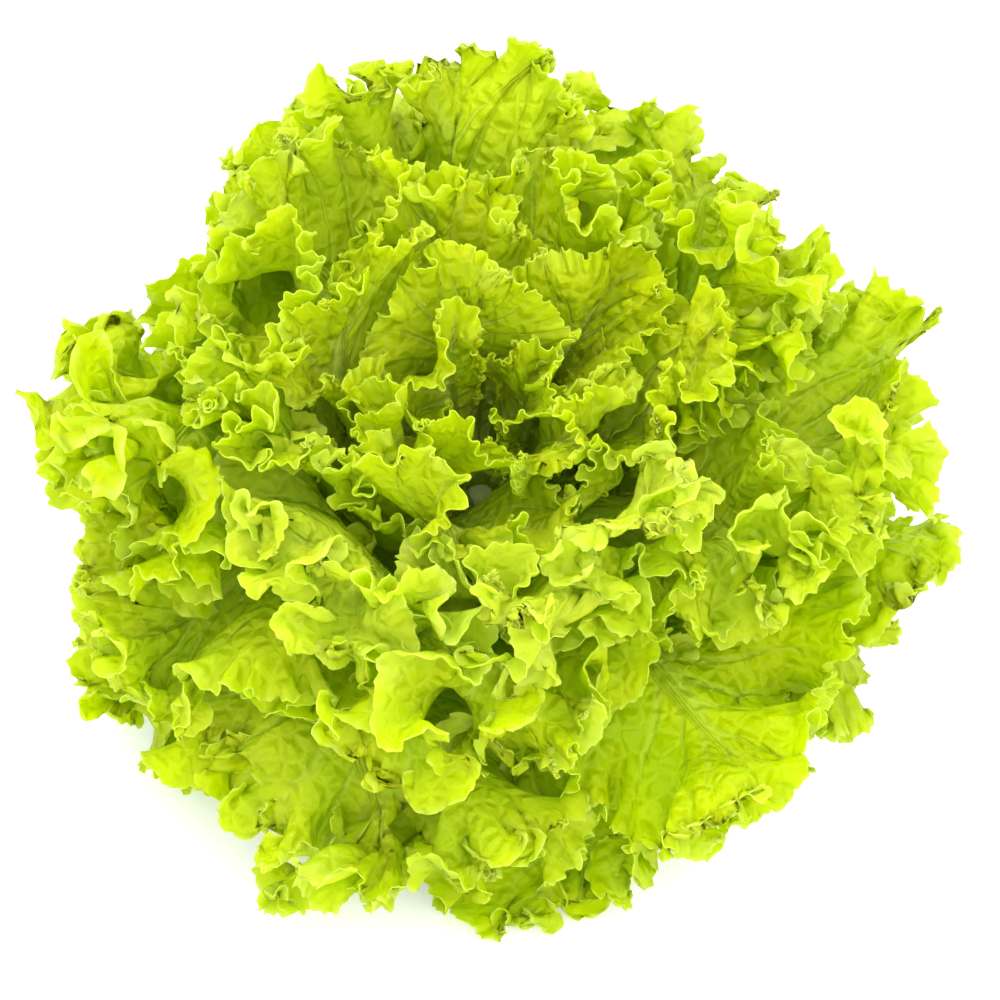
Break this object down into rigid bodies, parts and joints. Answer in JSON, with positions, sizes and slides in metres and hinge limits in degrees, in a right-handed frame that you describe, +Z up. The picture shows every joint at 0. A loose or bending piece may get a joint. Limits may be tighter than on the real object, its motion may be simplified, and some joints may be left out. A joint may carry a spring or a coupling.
{
  "type": "green leaf lettuce",
  "caption": "Whole head of curled green leaf lettuce: ruffled leaves in a spiral on a short cut stem, standing on its flat cut face.",
  "frame": {"origin": "centre of the stem's flat cut face", "axes": "+Z up through the heart of the head, -Y towards the side that the picture shows"},
  "size_m": [0.2857, 0.2911, 0.1621],
  "materials": {
    "leaf_green": "fresh yellow-green leaf blade, softly glossy and translucent",
    "heart_green": "paler young leaf blade, softly glossy and translucent",
    "stem_cream": "pale cream-green cut stem, moist"
  },
  "bodies": {
    "root": {"leaf_01": "leaf_green", "leaf_02": "leaf_green", "leaf_03": "leaf_green", "leaf_04": "leaf_green", "leaf_05": "leaf_green", "leaf_06": "leaf_green", "leaf_07": "leaf_green", "leaf_08": "leaf_green", "leaf_09": "leaf_green", "leaf_10": "leaf_green", "leaf_11": "leaf_green", "leaf_12": "leaf_green", "leaf_13": "leaf_green", "leaf_14": "leaf_green", "leaf_15": "leaf_green", "leaf_16": "leaf_green", "leaf_17": "leaf_green", "leaf_18": "leaf_green", "leaf_19": "leaf_green", "leaf_20": "leaf_green", "leaf_21": "leaf_green", "leaf_22": "leaf_green", "leaf_23": "leaf_green", "leaf_24": "leaf_green", "leaf_25": "heart_green", "leaf_26": "heart_green", "leaf_27": "heart_green", "leaf_28": "heart_green", "leaf_29": "heart_green", "leaf_30": "heart_green", "leaf_31": "heart_green", "leaf_32": "heart_green", "leaf_33": "heart_green", "leaf_34": "heart_green", "stem": "stem_cream"}
  },
  "joints": []
}
